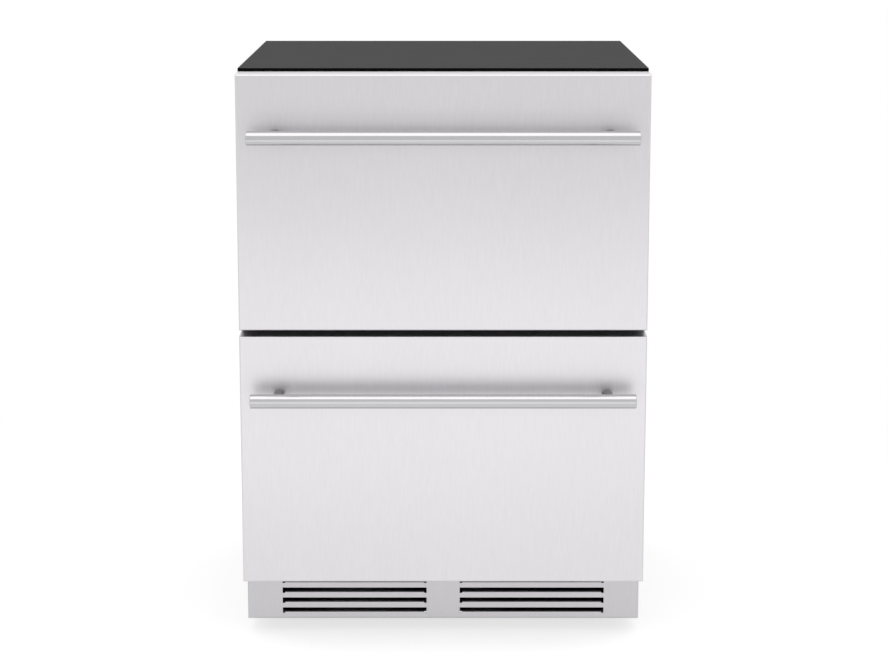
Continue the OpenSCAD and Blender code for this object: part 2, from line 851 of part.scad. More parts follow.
// Wall across the compartment with the fan's ring and three arms that hold the motor
module condenser_fan_shroud() {
  ring_r = condenser_fan_d / 2 + fan_tip_gap;
  front = machine_y + seat_gap;
  back = rear_seat_y - sheet_t - seat_gap;
  top = machine_top - sheet_t - seat_gap;
  motor_x = shroud_x + fan_depth + seat_gap;
  color("#3a3b3d") difference() {
    union() {
      box([shroud_x, front, machine_floor_z], [shroud_x + sheet_t, back, top]);
      box([shroud_x - shroud_flange, front, machine_floor_z],
          [shroud_x + sheet_t, back, machine_floor_z + sheet_t]);
      fan_place() cylinder(h = fan_depth, r = ring_r + ring_t);
      fan_place() for (a = [0, 120, 240]) rotate(a)
        box([motor_d / 2 + arm_t / 2, -arm_w / 2, fan_depth],
            [ring_r + ring_t / 2, arm_w / 2, fan_depth + arm_t]);
      fan_place() translate([0, 0, fan_depth]) cylinder(h = arm_t, d = motor_d + 2 * arm_t);
    }
    fan_place() translate([0, 0, -cut]) cylinder(h = fan_depth + cut, r = ring_r);
    fan_place() cylinder(h = fan_depth + 2 * arm_t, d = motor_d + 2 * seat_gap);
    translate([shroud_x - cut, machine_mid_y, discharge_z]) rotate([0, 90, 0])
      cylinder(h = sheet_t + 2 * cut, d = line_d + 2 * line_gap);
  }
}

// Puts a fan that is drawn along +Z on the shroud's axis, which runs along +X
module fan_place() {
  translate([shroud_x, machine_mid_y, fan_axis_z]) rotate([0, 90, 0]) children();
}

// Motor can with its shaft, drawn along -Z from the wheel's rear face
module fan_motor(l) {
  cylinder(h = l, d = motor_d);
  translate([0, 0, -shaft_out]) cylinder(h = shaft_out + cut, d = shaft_d);
}

// Wheel of curved blades on a hub that is bored for the shaft
module fan_wheel(d) {
  difference() {
    union() {
      cylinder(h = fan_hub_t, d = fan_hub_d);
      intersection() {
        translate([0, 0, fan_edge]) cylinder(h = fan_hub_t - 2 * fan_edge, d = d);
        for (i = [0 : fan_blades - 1]) rotate(i * 360 / fan_blades)
          translate([fan_hub_d / 2 - cut, 0, fan_hub_t / 2]) rotate([90, 0, 90])
            linear_extrude(d / 2) rotate(blade_angle) blade_section(d);
      }
    }
    translate([0, 0, fan_hub_t - shaft_out]) cylinder(h = shaft_out + cut, d = shaft_d + 2 * shaft_gap);
  }
}

// Curved section of a blade: a strip of a circular arc
module blade_section(d) {
  arc_r = d * 0.4;
  intersection() {
    translate([0, -arc_r]) difference() {
      circle(arc_r + blade_t / 2);
      circle(arc_r - blade_t / 2);
    }
    translate([-d / 5, -arc_r]) square([2 * d / 5, 2 * arc_r]);
  }
}

module condenser_fan_motor() {
  color("#4a4c4f") fan_place() translate([0, 0, fan_depth]) fan_motor(motor_l);
}

module condenser_fan() {
  color("#1d1d1e") fan_place()
    translate([0, 0, fan_depth - seat_gap - fan_hub_t]) fan_wheel(condenser_fan_d);
}

// Open tray that catches the defrost water
module drain_pan() {
  color("#2a2b2c") translate([drain_pan_x, machine_mid_y, machine_floor_z]) difference() {
    round_box([-drain_pan_w / 2, -drain_pan_l / 2, 0], [drain_pan_w / 2, drain_pan_l / 2, drain_pan_h],
              drain_pan_r);
    round_box([-drain_pan_w / 2 + drain_pan_t, -drain_pan_l / 2 + drain_pan_t, drain_pan_t],
              [drain_pan_w / 2 - drain_pan_t, drain_pan_l / 2 - drain_pan_t, drain_pan_h + cut],
              drain_pan_r - drain_pan_t);
  }
}

// Round passage of the drain through sheet, foam and liner
module drain_hole() {
  translate([drain_x, drain_y, machine_top - 2 * sheet_t])
    cylinder(h = liner_step_z - machine_top + 3 * sheet_t, d = drain_tube_d + 2 * seat_gap);
}

// Tube from the liner's step down into the tray, with its collar on the liner
module drain_tube() {
  low = machine_floor_z + drain_pan_t + drain_rise;
  color("#c9cbcc") translate([drain_x, drain_y, low]) difference() {
    union() {
      cylinder(h = liner_step_z - low + drain_collar_t, d = drain_tube_d);
      translate([0, 0, liner_step_z - low]) cylinder(h = drain_collar_t, d = drain_collar_d);
    }
    translate([0, 0, -cut]) cylinder(h = liner_step_z - low + drain_collar_t + 2 * cut, d = drain_bore_d);
  }
}

// Where the two lines to the evaporator pass through the ceiling
module line_holes() {
  for (x = [liquid_x, suction_x]) translate([x, evaporator_mid_y, machine_top - 2 * sheet_t])
    cylinder(h = liner_step_z - machine_top + 3 * sheet_t, d = line_d + 2 * line_gap);
}

// Copper lines between compressor, condenser and evaporator
module refrigerant_lines() {
  cond_front = machine_mid_y - condenser_l / 2 - coil_out;
  cond_back = machine_mid_y + condenser_l / 2 + coil_out;
  evap_x = evaporator_l / 2 + coil_out;
  cond_low = condenser_z + coil_edge;
  cond_high = cond_low + (condenser_rows - 1) * coil_pitch;
  evap_low = evaporator_z + coil_edge;
  evap_high = evap_low + (evaporator_rows - 1) * coil_pitch;
  color("#b4683c") {
    tube_path([
      [compressor_x - stub_x, machine_mid_y, compressor_top_z],
      [compressor_x - stub_x, machine_mid_y, discharge_z],
      [condenser_x, machine_mid_y, discharge_z], [condenser_x, cond_back + line_out, discharge_z],
      [condenser_x, cond_back + line_out, cond_high], [condenser_x, cond_back, cond_high]
    ], line_bend, line_d / 2);
    tube_path([
      [condenser_x, cond_front, cond_low], [condenser_x, cond_front - line_out, cond_low],
      [liquid_x, cond_front - line_out, cond_low], [liquid_x, cond_front - line_out, liquid_z],
      [liquid_x, evaporator_mid_y, liquid_z], [liquid_x, evaporator_mid_y, liquid_turn_z],
      [-evap_x - line_out, evaporator_mid_y, liquid_turn_z],
      [-evap_x - line_out, evaporator_mid_y, evap_low], [-evap_x, evaporator_mid_y, evap_low]
    ], line_bend, line_d / 2);
    tube_path([
      [evap_x, evaporator_mid_y, evap_high], [suction_x, evaporator_mid_y, evap_high],
      [suction_x, evaporator_mid_y, discharge_z], [compressor_x + stub_x, evaporator_mid_y, discharge_z],
      [compressor_x + stub_x, machine_mid_y, discharge_z],
      [compressor_x + stub_x, machine_mid_y, compressor_top_z]
    ], line_bend, line_d / 2);
  }
}

// ------------------------------------------------------------ cold air unit

module evaporator() {
  color("#b9bcbe") translate([0, evaporator_mid_y, evaporator_z])
    finned_coil(evaporator_l, evaporator_t, evaporator_h, evaporator_rows, evaporator_fin_pitch, 0);
}

// Three-sided plastic cover with the fan's grille and the upper air slots
module evaporator_cover() {
  side_x = inside_w / 2 - seat_gap;
  ring_step = grille_bar + grille_slot;
  color("#dfe1e2") difference() {
    box([-side_x, cover_y, cover_low_z], [side_x, liner_back_y - seat_gap, cover_high_z]);
    box([-side_x + cover_t, cover_y + cover_t, cover_low_z - cut],
        [side_x - cover_t, liner_back_y + cut, cover_high_z + cut]);
    translate([0, cover_y - cut, evaporator_fan_z]) rotate([-90, 0, 0])
      for (i = [1 : grille_rings]) difference() {
        cylinder(h = cover_t + 2 * cut, r = i * ring_step);
        cylinder(h = cover_t + 2 * cut, r = i * ring_step - grille_slot);
        for (a = [0 : 45 : 135]) rotate(a)
          cube([2 * evaporator_fan_d, grille_bar, 4 * cover_t + 4 * cut], center = true);
      }
    translate([-cover_slot_l / 2, cover_y - cut, cover_high_z - cover_slot_drop])
      for (i = [0 : cover_slots - 1]) translate([(i - (cover_slots - 1) / 2) * cover_slot_pitch, 0, 0])
        cube([cover_slot_l, cover_t + 2 * cut, cover_slot_h]);
  }
}

module evaporator_fan_motor() {
  color("#5a5c5f") translate([0, liner_back_y - seat_gap - motor_l, evaporator_fan_z])
    rotate([-90, 0, 0]) fan_motor(motor_l);
}

module evaporator_fan() {
  color("#e4e5e5") translate([0, liner_back_y - 2 * seat_gap - motor_l - fan_hub_t, evaporator_fan_z])
    rotate([-90, 0, 0]) fan_wheel(evaporator_fan_d);
}

// Touch panel under the liner's ceiling: a wedge with a window and four pads
module control_panel() {
  top = upper_window_z + window_h;
  front = frame_y + control_inset;
  color("#1a1b1c") difference() {
    along_x(control_w) polygon([
      [front, top], [front, top - control_front_h],
      [front + control_d, top - control_h], [front + control_d, top]
    ]);
    translate([0, front + control_d / 2, top - control_front_h]) {
      box([-control_window_w / 2, -control_window_d / 2, -control_h],
          [control_window_w / 2, control_window_d / 2, -control_recess]);
      both_sides() for (i = [1, 2])
        translate([control_window_w / 2 + i * control_pad_pitch, 0, -control_h])
          cylinder(h = control_h - control_recess, d = control_pad_d);
    }
  }
}

// Lamp strip under the liner's ceiling
module light_bar() {
  top = upper_window_z + window_h;
  front = frame_y + light_inset;
  color("#f4f6f4") along_x(light_l) translate([front + light_w / 2, top - light_h / 2])
    difference() {
      round_rect(light_w, light_h + 2 * light_r, light_r);
      translate([-light_w, light_h / 2]) square([2 * light_w, 2 * light_r]);
    }
}

// Sensor capsule in a clip on the right wall of the liner
module temperature_sensor() {
  x = inside_w / 2;
  color("#f0f0ee") {
    rod_y(x - sensor_d / 2 - sensor_out, sensor_y, sensor_z, sensor_l, sensor_d);
    box([x - sensor_d / 2 - sensor_out, sensor_y + sensor_l / 3, sensor_z - sensor_d / 2],
        [x, sensor_y + 2 * sensor_l / 3, sensor_z + sensor_d / 2]);
  }
}

// ------------------------------------------------------------------- feet

// Levelling foot: pad, nut and stem, at one of the four places
module foot(p) {
  color("#2b2b2b") translate([p[0], p[1], 0]) {
    rotate_extrude() polygon([
      [0, 0], [foot_d / 2 - foot_chamfer, 0], [foot_d / 2, foot_chamfer],
      [foot_d / 2, foot_pad_t / 2], [foot_nut_w / 2, foot_pad_t], [0, foot_pad_t]
    ]);
    translate([0, 0, foot_pad_t - cut / 2])
      cylinder(h = foot_nut_t + cut / 2, d = foot_nut_w / cos(30), $fn = 6);
    cylinder(h = base_z + foot_boss_h + foot_stem_out, d = foot_stem_d);
  }
}

module front_left_foot() { foot(foot_places[0]); }
module front_right_foot() { foot(foot_places[1]); }
module rear_left_foot() { foot(foot_places[2]); }
module rear_right_foot() { foot(foot_places[3]); }

// ----------------------------------------------------------------- slides

// Rolled channel of a slide: a web and two flanges, in the right-hand slide
module channel(axis_z, web, open_low, open_high, h, y, l) {
  box([slide_x + web, y, axis_z - h / 2], [slide_x + web + rail_t, y + l, axis_z + h / 2]);
  for (s = [0, 1])
    translate([0, 0, s * (h - rail_t)])
      box([slide_x + open_low, y, axis_z - h / 2], [slide_x + open_high, y + l, axis_z - h / 2 + rail_t]);
}

// Channels on the liner's walls
module fixed_rails(axis_z) {
  color("#a8abae") both_sides()
    channel(axis_z, slide_t - rail_t, fixed_open, slide_t, fixed_rail_h, rail_y, rail_l);
}

// Middle channels of the left and right slides
module mid_rails(axis_z) {
  color("#b3b6b9") both_sides()
    channel(axis_z, mid_web, mid_open, mid_web + rail_t, mid_rail_h, rail_y + mid_rail_inset, mid_rail_l);
}

// Channels on the drawer's own frame
module inner_rails(axis_z) {
  color("#bdc0c3") both_sides() channel(axis_z, 0, 0, inner_open, inner_rail_h, rail_y, rail_l);
}

// Balls above and below the middle channel, outside it and inside it
module slide_balls(axis_z) {
  outer_low = mid_rail_h / 2;
  outer_high = fixed_rail_h / 2 - rail_t;
  inner_low = inner_rail_h / 2;
  inner_high = mid_rail_h / 2 - rail_t;
  color("#d4d6d8") both_sides() for (i = [0 : ball_count - 1], s = [-1, 1]) {
    y = ball_start + i * ball_pitch;
    translate([slide_x + outer_ball_x, ball_mid_y + y, axis_z + s * (outer_low + outer_high) / 2])
      sphere(r = (outer_high - outer_low) / 2 - ball_gap);
    translate([slide_x + inner_ball_x, ball_mid_y - y, axis_z + s * (inner_low + inner_high) / 2])
      sphere(r = (inner_high - inner_low) / 2 - ball_gap);
  }
}

module upper_fixed_rails() { fixed_rails(upper_rail_z); }
module lower_fixed_rails() { fixed_rails(lower_rail_z); }
module upper_mid_rails() { mid_rails(upper_rail_z); }
module lower_mid_rails() { mid_rails(lower_rail_z); }
module upper_slide_balls() { slide_balls(upper_rail_z); }
module lower_slide_balls() { slide_balls(lower_rail_z); }
module upper_inner_rails() { inner_rails(upper_rail_z); }
module lower_inner_rails() { inner_rails(lower_rail_z); }

// ----------------------------------------------------------- drawer fronts

// Height of the handle's axis on a front whose lower edge is at z
function handle_z(z) = z + front_h - bar_drop;

// Wrapped stainless skin, open at the back between its folded lips
module front_skin(z) {
  color("#d9d7dc") difference() {
    translate([0, face_y, z]) bent_block(front_w, front_t, front_h, skin_bend_r);
    translate([0, face_y + skin_t, z + skin_t])
      bent_block(front_w - 2 * skin_t, front_t - 2 * skin_t, front_h - 2 * skin_t, skin_bend_r - skin_t);
    box([-front_w / 2 + skin_lip, face_y + front_t / 2, z + skin_lip],
        [front_w / 2 - skin_lip, panel_y + cut, z + front_h - skin_lip]);
    both_sides()
      rod_y(post_pitch / 2, face_y - cut, handle_z(z), skin_t + 2 * cut, handle_screw_d + screw_gap);
  }
}

// Foam core of a front, with the pockets of the handle screws
module front_foam(z, window_z) {
  color("#e8ddb4") difference() {
    union() {
      difference() {
        translate([0, face_y + skin_t, z + skin_t])
          bent_block(front_w - 2 * skin_t, front_t - 2 * skin_t, front_h - 2 * skin_t, skin_bend_r - skin_t);
        box([-front_w / 2 + skin_lip, panel_y - panel_t, z + skin_lip],
            [front_w / 2 - skin_lip, panel_y + cut, z + front_h - skin_lip]);
      }
      box([-field_x + panel_t, panel_y - panel_t - cut, window_z + panel_margin + panel_t],
          [field_x - panel_t, panel_y + panel_raise - panel_t, window_z + window_h - panel_margin - panel_t]);
    }
    both_sides() rod_y(post_pitch / 2, face_y, handle_z(z), skin_t + handle_head_t + seat_gap,
                       handle_head_d + 2 * seat_gap);
  }
}

// Moulded panel on the back of a front, with a raised field inside the gasket
module inner_panel(z, window_z) {
  color("#e4e6e7") difference() {
    union() {
      box([-front_w / 2 + skin_lip, panel_y - panel_t, z + skin_lip],
          [front_w / 2 - skin_lip, panel_y, z + front_h - skin_lip]);
      box([-field_x, panel_y - panel_t, window_z + panel_margin],
          [field_x, panel_y + panel_raise, window_z + window_h - panel_margin]);
    }
    box([-field_x + panel_t, panel_y - panel_t - cut, window_z + panel_margin + panel_t],
        [field_x - panel_t, panel_y + panel_raise - panel_t, window_z + window_h - panel_margin - panel_t]);
  }
}

// Magnetic gasket: foot, narrow neck and magnet head
module gasket(window_z) {
  w = window_w + 2 * gasket_w;
  low = window_z - gasket_w;
  high = window_z + window_h + gasket_w;
  inset = (gasket_w - gasket_neck_w) / 2;
  head_y = frame_y - seat_gap - gasket_head_t;
  color("#1c1c1d") {
    ring_xz(w, low, high, gasket_w, panel_y, gasket_foot_t);
    ring_xz(w - 2 * inset, low + inset, high - inset, gasket_neck_w, panel_y,
            head_y - panel_y + gasket_head_t / 2);
    ring_xz(w, low, high, gasket_w, head_y, gasket_head_t);
  }
}

// Round bar with chamfered ends and two tapped holes for the post screws
module handle_bar(z) {
  r = bar_d / 2;
  color("#e2e0e4") difference() {
    translate([-bar_l / 2, bar_y, handle_z(z)]) rotate([0, 90, 0]) rotate_extrude() polygon([
      [0, 0], [r - bar_chamfer, 0], [r, bar_chamfer],
      [r, bar_l - bar_chamfer], [r - bar_chamfer, bar_l], [0, bar_l]
    ]);
    both_sides() rod_y(post_pitch / 2, bar_y - handle_screw_depth, handle_z(z), r + 2 * handle_screw_depth,
                       handle_screw_d + screw_gap);
  }
}

// Two hollow posts that are saddled to the bar
module handle_posts(z) {
  color("#bdbbc0") both_sides() difference() {
    rod_y(post_pitch / 2, bar_y, handle_z(z), bar_reach, post_d);
    translate([0, bar_y, handle_z(z)]) rotate([0, 90, 0]) cylinder(h = bar_l, d = bar_d);
    rod_y(post_pitch / 2, bar_y - cut, handle_z(z), bar_reach + 2 * cut, handle_screw_d + screw_gap);
  }
}

// Screws from inside the front through the posts into the bar
module handle_screws(z) {
  color("#85878a") both_sides() {
    rod_y(post_pitch / 2, face_y + skin_t, handle_z(z), handle_head_t, handle_head_d);
    rod_y(post_pitch / 2, bar_y - handle_screw_depth + seat_gap, handle_z(z),
          bar_reach + handle_screw_depth + skin_t + handle_head_t / 2, handle_screw_d);
  }
}

// ------------------------------------------------------- drawer frame, bin

// Welded carrier: two side plates with bolting tabs and a rear cross bar
module drawer_frame(axis_z) {
  low = axis_z - bracket_fall;
  high = axis_z + bracket_rise;
  color("#9ea1a4") {
    both_sides() {
      box([slide_x - bracket_t, field_y, low], [slide_x, frame_back_y, high]);
      box([slide_x - bracket_tab_w, field_y, low], [slide_x, field_y + bracket_t, high]);
    }
    box([-slide_x, frame_back_y - bracket_t, axis_z], [slide_x, frame_back_y, high]);
  }
}

// Space of a bin's tub, inset by g: a low part in front and a shallow part over the step
module bin_space(top, low_d, g, over) {
  bottom = top - bin_h;
  half = bin_w / 2 - g;
  r = bin_r - g;
  shallow = max(bottom, liner_step_z + bin_gap);
  round_box([-half, bin_y + g, bottom + g], [half, bin_y + low_d - g, top + over], r);
  if (low_d < bin_d)
    round_box([-half, bin_y + g, shallow + g], [half, bin_y + bin_d - g, top + over], r);
}

// Tub that hangs by its rim on the drawer frame
module bin(axis_z, low_d) {
  top = axis_z + bracket_rise;
  color("#eceded") difference() {
    union() {
      bin_space(top, low_d, 0, rim_t);
      round_box([-bin_w / 2 - rim_w, field_y + seat_gap, top],
                [bin_w / 2 + rim_w, bin_y + bin_d + rim_w, top + rim_t], bin_r);
    }
    bin_space(top, low_d, bin_t, rim_t + cut);
  }
}

module upper_front_skin() { front_skin(upper_front_z); }
module upper_front_foam() { front_foam(upper_front_z, upper_window_z); }
module upper_inner_panel() { inner_panel(upper_front_z, upper_window_z); }
module upper_gasket() { gasket(upper_window_z); }
module upper_handle_bar() { handle_bar(upper_front_z); }
module upper_handle_posts() { handle_posts(upper_front_z); }
module upper_handle_screws() { handle_screws(upper_front_z); }
module upper_drawer_frame() { drawer_frame(upper_rail_z); }
module upper_bin() { bin(upper_rail_z, bin_d); }
module lower_front_skin() { front_skin(lower_front_z); }
module lower_front_foam() { front_foam(lower_front_z, lower_window_z); }
module lower_inner_panel() { inner_panel(lower_front_z, lower_window_z); }
module lower_gasket() { gasket(lower_window_z); }
module lower_handle_bar() { handle_bar(lower_front_z); }
module lower_handle_posts() { handle_posts(lower_front_z); }
module lower_handle_screws() { handle_screws(lower_front_z); }
module lower_drawer_frame() { drawer_frame(lower_rail_z); }
module lower_bin() { bin(lower_rail_z, low_bin_d); }

cabinet_shell();
top_panel();
back_panel();
base_pan();
insulation_foam();
inner_liner();
front_frame();
mullion();
kick_plate();
rear_cover();
rear_cover_screws();
compressor();
compressor_pump();
compressor_grommets();
condenser();
condenser_fan_shroud();
condenser_fan_motor();
condenser_fan();
drain_pan();
drain_tube();
refrigerant_lines();
evaporator();
evaporator_cover();
evaporator_fan_motor();
evaporator_fan();
control_panel();
light_bar();
temperature_sensor();
cord_gland();
front_left_foot();
front_right_foot();
rear_left_foot();
rear_right_foot();
upper_fixed_rails();
lower_fixed_rails();
upper_mid_rails();
upper_slide_balls();
lower_mid_rails();
lower_slide_balls();
upper_front_skin();
upper_front_foam();
upper_inner_panel();
upper_gasket();
upper_handle_bar();
upper_handle_posts();
upper_handle_screws();
upper_drawer_frame();
upper_inner_rails();
upper_bin();
lower_front_skin();
lower_front_foam();
lower_inner_panel();
lower_gasket();
lower_handle_bar();
lower_handle_posts();
lower_handle_screws();
lower_drawer_frame();
lower_inner_rails();
lower_bin();
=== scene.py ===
import json
import math

import bpy
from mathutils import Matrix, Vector


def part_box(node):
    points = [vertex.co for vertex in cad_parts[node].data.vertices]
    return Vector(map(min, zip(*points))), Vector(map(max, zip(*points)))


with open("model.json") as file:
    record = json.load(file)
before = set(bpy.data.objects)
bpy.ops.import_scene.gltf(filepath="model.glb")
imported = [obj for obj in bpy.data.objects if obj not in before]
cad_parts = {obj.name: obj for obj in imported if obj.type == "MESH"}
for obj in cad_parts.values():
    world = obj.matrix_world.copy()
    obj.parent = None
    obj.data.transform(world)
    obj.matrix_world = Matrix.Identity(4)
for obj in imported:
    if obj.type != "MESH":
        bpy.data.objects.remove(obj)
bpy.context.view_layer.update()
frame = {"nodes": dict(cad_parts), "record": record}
nodes = frame["nodes"]

# ------------------------------------------------------------------ sizes, in metres

FACE_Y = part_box("upper_front_skin")[0].y   # plane of the drawer fronts

# Camera: its place, tilt and lens, fitted to the photograph
PHOTO_W = 888              # pixels
SENSOR_W = 36.0            # millimetres
CAMERA_DISTANCE = 3.2084   # from the fronts
CAMERA_HEIGHT = 1.1449
CAMERA_TILT = 0.1892       # radians below the horizon
CAMERA_FOCAL = 2248.4      # pixels
SHIFT_X = 0.84             # pixels, right
SHIFT_Y = -30.0            # pixels, up

# Studio: the light of the surroundings on matt surfaces, and the floor
WHITE = (1, 1, 1, 1)
WHITE_LEVEL = 1.0          # strength that renders as white
SKY_LEVEL = 0.5
FLOOR_SIZE = 14.0
FLOOR_COLOR = (0.5, 0.5, 0.5, 1)
FLOOR_GLOW = 0.72          # strength that is seen on top of the lamps' light
FLOOR_FADE = (0.5, 1.5)    # distances from the middle between which the floor turns to white

# What the lamps face
BODY_MIDDLE = (0, 0, 0.45)
FRONTS_LOW = (0, FACE_Y, 0.3)
FRONTS_TOP = (0, FACE_Y - 0.1, 0.8)

# Sockets of a colour mix node
MIX_AMOUNT, MIX_A, MIX_B, MIX_RESULT = 0, 6, 7, 2


# ------------------------------------------------------------------ node helpers

class Nodes:
    """A node tree, with short calls for its nodes and links."""

    def __init__(self, tree):
        self.tree = tree

    def link(self, source, target):
        self.tree.links.new(source, target)

    def add(self, kind, inputs=(), **settings):
        """New node. Its inputs, in order or by name, are each a socket to link or a constant to set."""
        made = self.tree.nodes.new(kind)
        for name, value in settings.items():
            setattr(made, name, value)
        pairs = inputs.items() if isinstance(inputs, dict) else enumerate(inputs)
        for key, value in pairs:
            if isinstance(value, bpy.types.NodeSocket):
                self.link(value, made.inputs[key])
            else:
                made.inputs[key].default_value = value
        return made

    def math(self, operation, *values):
        return self.add("ShaderNodeMath", values, operation=operation).outputs[0]

    def object_place(self):
        return self.add("ShaderNodeTexCoord").outputs["Object"]

    def seen_directly(self):
        """1 for rays that come from the camera, a mirror or glass, and 0 for the rest."""
        rays = self.add("ShaderNodeLightPath").outputs
        seen = self.math("MAXIMUM", rays["Is Camera Ray"], rays["Is Glossy Ray"])
        return self.math("MAXIMUM", seen, rays["Is Transmission Ray"])


class Look(Nodes):
    """One procedural material: a principled shader and the small node chains that feed it."""

    def __init__(self, name, color, roughness, metallic=0.0, specular=0.5):
        self.material = bpy.data.materials.new(name)
        self.material.use_nodes = True
        self.material.diffuse_color = (*color, 1)
        self.material.metallic = metallic
        self.material.roughness = roughness
        super().__init__(self.material.node_tree)
        self.color = color
        self.roughness = roughness
        self.shader = self.tree.nodes["Principled BSDF"].inputs
        self.shader["Base Color"].default_value = (*color, 1)
        self.shader["Roughness"].default_value = roughness
        self.shader["Metallic"].default_value = metallic
        self.shader["Specular IOR Level"].default_value = specular
        self.place = self.object_place()

    def stretched(self, scale):
        """Object coordinates multiplied by scale, in features per metre along each axis."""
        return self.add("ShaderNodeMapping", {"Vector": self.place, "Scale": scale}).outputs[0]

    def noise(self, scale, detail=2.0, rough=0.5):
        inputs = {"Vector": self.stretched(scale), "Scale": 1.0, "Detail": detail, "Roughness": rough}
        return self.add("ShaderNodeTexNoise", inputs).outputs["Fac"]

    def cells(self, scale, output="Distance"):
        """Cells around scattered points, as the distance to the point or as each cell's own colour."""
        inputs = {"Vector": self.stretched(scale), "Scale": 1.0}
        return self.add("ShaderNodeTexVoronoi", inputs).outputs[output]

    def spread(self, value, low, high, start=0.0, end=1.0):
        """Maps start..end to low..high, held at both ends."""
        inputs = {"Value": value, "From Min": start, "From Max": end, "To Min": low, "To Max": high}
        return self.add("ShaderNodeMapRange", inputs, clamp=True).outputs[0]

    def blend(self, a, b, share):
        """That share of a, and the rest from b."""
        return self.math("MULTIPLY_ADD", a, share, self.math("MULTIPLY", b, 1 - share))

    def set_color(self, amount, start, end):
        """Base colour that runs from start to end as amount goes from 0 to 1."""
        inputs = {MIX_AMOUNT: amount, MIX_A: (*start, 1), MIX_B: (*end, 1)}
        mixed = self.add("ShaderNodeMix", inputs, data_type="RGBA")
        self.link(mixed.outputs[MIX_RESULT], self.shader["Base Color"])

    def vary_color(self, amount, dark, light):
        """Base colour that runs from dark to light times the written colour."""
        ends = [tuple(min(1.0, c * share) for c in self.color) for share in (dark, light)]
        self.set_color(amount, *ends)

    def vary_roughness(self, amount, swing):
        varied = self.spread(amount, self.roughness - swing, self.roughness + swing)
        self.link(varied, self.shader["Roughness"])

    def bump(self, height, depth):
        """Bump whose full height is depth metres."""
        made = self.add("ShaderNodeBump", {"Strength": 1.0, "Distance": depth, "Height": height})
        self.link(made.outputs[0], self.shader["Normal"])


# ------------------------------------------------------------------ materials

COOL_CAST = (0.95, 0.99, 1.06)   # red, green and blue of zinc's bluish patches, as shares of its colour


def brushed_sheet(name, color, roughness):
    """Stainless sheet with an upright brushed grain."""
    look = Look(name, color, roughness, metallic=1.0)
    fine = look.noise(scale=(1500, 1500, 70), detail=3)
    wide = look.noise(scale=(420, 420, 36))
    soft = look.noise(scale=(9, 9, 5))
    grain = look.blend(fine, wide, share=0.45)
    tone = look.blend(soft, grain, share=0.15)
    look.vary_color(look.spread(tone, 0, 1, start=0.3, end=0.7), dark=0.965, light=1.035)
    look.vary_roughness(grain, swing=0.05)
    look.bump(grain, depth=0.000004)
    return look


def turned_bar(name, color, roughness):
    """Polished bar with faint lines along its length."""
    look = Look(name, color, roughness, metallic=1.0)
    lines = look.noise(scale=(12, 2400, 2400), detail=3)
    soft = look.noise(scale=(25, 60, 60))
    look.vary_color(soft, dark=0.97, light=1.02)
    look.vary_roughness(lines, swing=0.03)
    look.bump(lines, depth=0.000001)
    return look


def powder_coat(name, color, roughness, specular):
    """Baked powder paint with its fine orange peel."""
    look = Look(name, color, roughness, specular=specular)
    peel = look.noise(scale=(900, 900, 900))
    patches = look.noise(scale=(14, 14, 14), detail=3)
    look.vary_color(patches, dark=0.88, light=1.12)
    look.vary_roughness(patches, swing=0.05)
    look.bump(peel, depth=0.00004)
    return look


def galvanised(name, color, roughness):
    """Zinc-coated sheet with its crystal spangle."""
    look = Look(name, color, roughness, metallic=1.0)
    spangle = look.cells(scale=(120, 120, 120), output="Color")
    gray = look.add("ShaderNodeSeparateColor", [spangle]).outputs[0]
    streaks = look.noise(scale=(40, 40, 6), detail=3)
    tone = look.blend(gray, streaks, share=0.6)
    look.vary_color(tone, dark=0.9, light=1.06)
    look.vary_roughness(tone, swing=0.05)
    look.bump(look.noise(scale=(600, 600, 600)), depth=0.00001)
    return look


def plated(name, color, roughness):
    """Zinc-plated rolled steel with a bluish cast in patches, its rolling lines along the depth."""
    look = Look(name, color, roughness, metallic=1.0)
    lines = look.noise(scale=(900, 12, 900), detail=3)
    patches = look.noise(scale=(30, 9, 30), detail=3)
    look.set_color(patches, color, [c * cast for c, cast in zip(color, COOL_CAST)])
    look.vary_roughness(lines, swing=0.07)
    look.bump(lines, depth=0.000004)
    return look


def moulded(name, color, roughness, grain=900, depth=0.00002):
    """Moulded plastic with a fine spark-eroded grain."""
    look = Look(name, color, roughness)
    pebbles = look.cells(scale=(grain, grain, grain))
    flow = look.noise(scale=(7, 7, 4), detail=3)
    look.vary_color(flow, dark=0.965, light=1.02)
    look.vary_roughness(flow, swing=0.05)
    look.bump(pebbles, depth)
    return look


def rubber(name, color, roughness):
    """Matt rubber with a fine grain and a dusting of talc."""
    look = Look(name, color, roughness, specular=0.3)
    dust = look.noise(scale=(60, 60, 60), detail=5, rough=0.7)
    look.vary_color(dust, dark=0.75, light=1.5)
    look.vary_roughness(dust, swing=0.08)
    look.bump(look.noise(scale=(1600, 1600, 1600)), depth=0.00002)
    return look


def cellular(name, color, roughness):
    """Rigid foam with its broken cells."""
    look = Look(name, color, roughness, specular=0.2)
    pores = look.cells(scale=(800, 800, 800))
    patches = look.noise(scale=(30, 30, 30), detail=4)
    look.vary_color(patches, dark=0.85, light=1.08)
    look.bump(pores, depth=0.0002)
    return look


def drawn_copper(name, color, tarnished, roughness):
    """Copper tube with a patchy tarnish."""
    look = Look(name, color, roughness, metallic=1.0)
    tarnish = look.noise(scale=(90, 90, 30), detail=5, rough=0.65)
    look.set_color(look.spread(tarnish, 0, 1, start=0.35, end=0.75), color, tarnished)
    look.vary_roughness(tarnish, swing=0.12)
    look.bump(tarnish, depth=0.00002)
    return look


def rolled_fins(name, color, roughness):
    """Aluminium coil and fin stock."""
    look = Look(name, color, roughness, metallic=1.0)
    lines = look.noise(scale=(300, 300, 40), detail=3)
    look.vary_color(lines, dark=0.9, light=1.05)
    look.vary_roughness(lines, swing=0.1)
    look.bump(lines, depth=0.00001)
    return look


